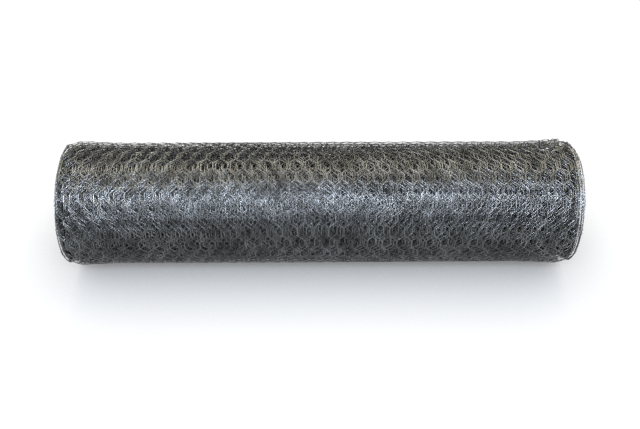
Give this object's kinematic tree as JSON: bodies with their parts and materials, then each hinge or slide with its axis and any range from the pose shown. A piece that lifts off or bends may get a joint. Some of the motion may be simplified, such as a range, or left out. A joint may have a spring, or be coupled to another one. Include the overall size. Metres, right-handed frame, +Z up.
{
  "type": "roll of chicken wire",
  "caption": "Roll of hexagonal galvanised wire netting lying on its side, wound on itself around an open bore; raw stock for fences, runs and plaster.",
  "frame": {"origin": "on the floor, under the middle of the roll, which lies on its side", "axes": "+X along the roll's axis, +Y away from the viewer, +Z up"},
  "size_m": [0.9, 0.2252, 0.2252],
  "materials": {
    "galvanised_wire": "hot-dip galvanised wire, dulled zinc with bright flecks"
  },
  "bodies": {
    "root": {"netting_roll": "galvanised_wire"}
  },
  "joints": []
}
